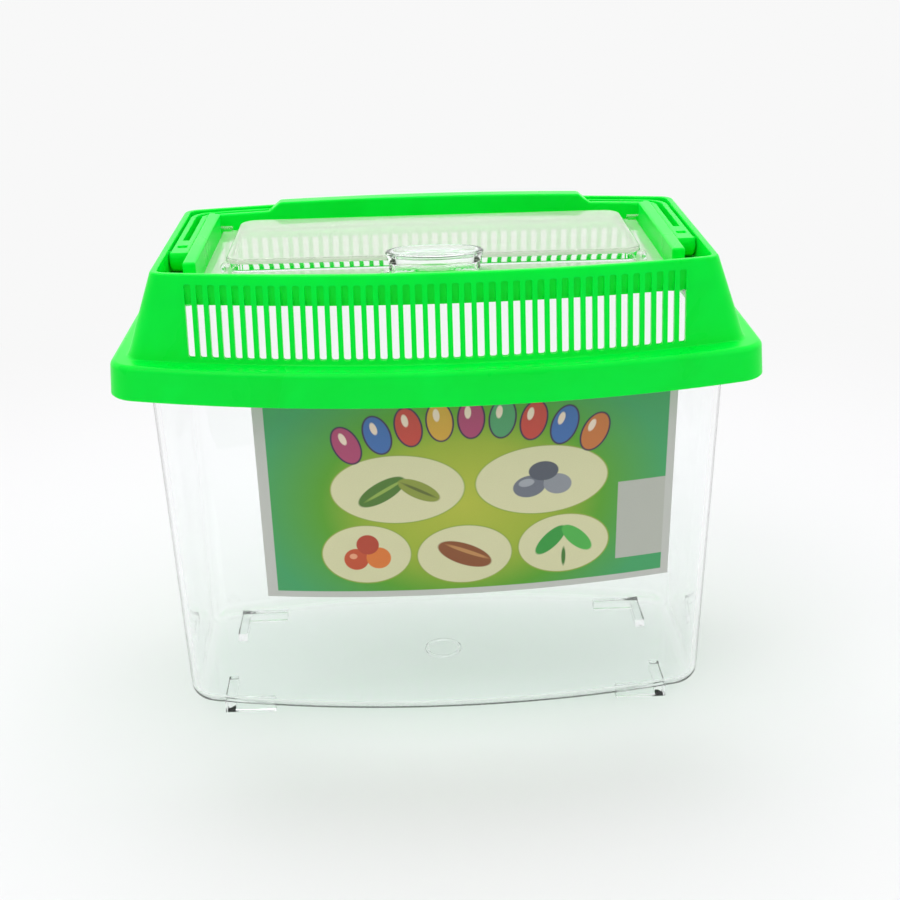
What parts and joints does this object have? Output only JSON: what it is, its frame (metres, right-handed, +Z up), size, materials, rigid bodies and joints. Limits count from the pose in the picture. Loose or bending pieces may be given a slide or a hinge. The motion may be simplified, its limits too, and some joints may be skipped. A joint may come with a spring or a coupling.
{
  "type": "plastic pet keeper",
  "caption": "Small clear plastic pet keeper: bowed tub with corner feet, slotted push-on lid, hinged clear hatch and fold-down carry handle.",
  "frame": {"origin": "centre of the footprint, on the plane that the four feet stand on", "axes": "+X along the length, +Y from the labelled front to the rear, +Z up"},
  "size_m": [0.18, 0.1142, 0.145],
  "materials": {
    "clear_plastic": "polished clear",
    "green_plastic": "moulded satin gloss",
    "printed_label": "printed semi-matte"
  },
  "bodies": {
    "tub": {"tub": "clear_plastic", "label": "printed_label"},
    "lid": {"lid": "green_plastic"},
    "hatch": {"hatch": "clear_plastic"},
    "handle": {"handle": "green_plastic"}
  },
  "joints": [
    {"name": "lid_lift", "type": "slide", "parent": "tub", "child": "lid", "axis": [0, 0, 1], "range_m": [0, 0.125]},
    {"name": "hatch_hinge", "type": "hinge", "parent": "lid", "child": "hatch", "pos_m": [0, 0.029, 0.1382], "axis": [-1, 0, 0], "range_deg": [0, 90]},
    {"name": "handle_swing", "type": "hinge", "parent": "lid", "child": "handle", "pos_m": [0, -0.0105, 0.1404], "axis": [1, 0, 0], "range_deg": [0, 160]}
  ]
}
